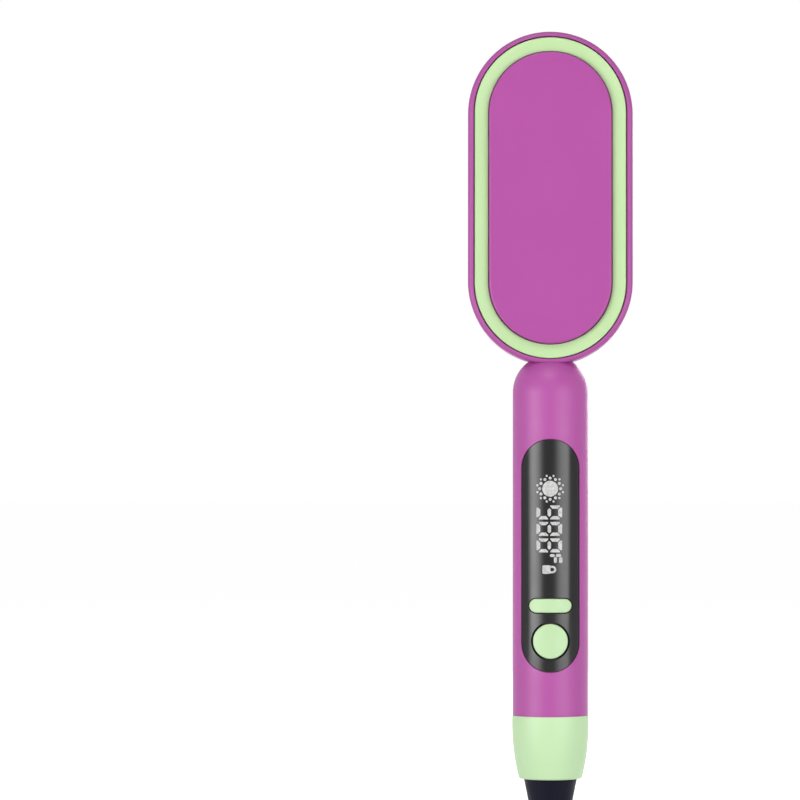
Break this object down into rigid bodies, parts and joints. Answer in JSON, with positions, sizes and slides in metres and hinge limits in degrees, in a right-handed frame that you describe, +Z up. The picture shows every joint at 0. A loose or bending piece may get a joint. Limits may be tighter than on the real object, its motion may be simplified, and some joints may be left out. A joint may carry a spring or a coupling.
{
  "type": "heated straightening brush",
  "caption": "Hand-held heated straightening brush with a round-ended paddle head, rows of ball-tipped teeth, a display handle with push buttons and a swivelling tail boot.",
  "frame": {"origin": "on the axis of the grip, half-way between the collar seam and the centre of the dome", "axes": "+X to the right as the display is read, -Y out of the display, +Y along the teeth, +Z up the grip to the head"},
  "size_m": [0.0654, 0.0408, 0.3308],
  "materials": {
    "purple_casing": "satin moulded plastic, purple",
    "green_trim": "satin moulded plastic, pale green",
    "display_black": "polished black acrylic",
    "guard_black": "black heat-proof plastic",
    "plate_coating": "black ceramic-coated metal",
    "tip_nylon": "black nylon",
    "boot_rubber": "dark soft rubber",
    "white_nylon": "natural nylon",
    "spring_steel": "bare sheet steel",
    "contact_brass": "bare brass",
    "screw_steel": "zinc-plated steel",
    "board_laminate": "green circuit board",
    "component_black": "black component casing",
    "display_grey": "dark grey display block",
    "lead_sleeve": "red silicone sleeve",
    "heater_ceramic": "white alumina",
    "mica_sheet": "pressed mica"
  },
  "bodies": {
    "housing": {"handle_front_shell": "purple_casing", "handle_rear_shell": "purple_casing", "head_front_shell": "purple_casing", "head_rear_shell": "purple_casing", "head_cover_panel": "purple_casing", "side_trim_left": "green_trim", "side_trim_right": "green_trim", "tail_collar": "green_trim", "head_trim_ring": "green_trim", "display_lens": "display_black", "heat_guard_frame": "guard_black", "comb_plate": "plate_coating", "heated_teeth": "plate_coating", "tooth_tips": "tip_nylon", "swivel_bush": "white_nylon", "contact_block": "white_nylon", "heater_clamp": "spring_steel", "contact_brushes": "contact_brass", "neck_screw": "screw_steel", "board_screws": "screw_steel", "head_screws": "screw_steel", "clamp_screws": "screw_steel", "control_board": "board_laminate", "board_components": "component_black", "power_switch": "component_black", "mode_switch": "component_black", "display_module": "display_grey", "supply_leads": "lead_sleeve", "heater_leads": "lead_sleeve", "ceramic_heaters": "heater_ceramic", "temperature_sensor": "heater_ceramic", "thermal_fuse": "heater_ceramic", "mica_insulator": "mica_sheet"},
    "power_key": {"power_button": "green_trim", "power_switch_plunger": "component_black"},
    "mode_key": {"mode_button": "green_trim", "mode_switch_plunger": "component_black"},
    "tail_swivel": {"cord_boot": "boot_rubber", "swivel_spindle": "white_nylon", "swivel_retainer": "spring_steel", "slip_rings": "contact_brass"}
  },
  "joints": [
    {"name": "power_press", "type": "slide", "parent": "housing", "child": "power_key", "axis": [0, 1, 0], "range_m": [0, 0.0006], "stiffness_N_per_m": 1000},
    {"name": "mode_press", "type": "slide", "parent": "housing", "child": "mode_key", "axis": [0, 1, 0], "range_m": [0, 0.0006], "stiffness_N_per_m": 1000},
    {"name": "boot_swivel", "type": "hinge", "parent": "housing", "child": "tail_swivel", "pos_m": [0, 0, -0.0893], "axis": [0, 0, 1], "continuous": true}
  ]
}
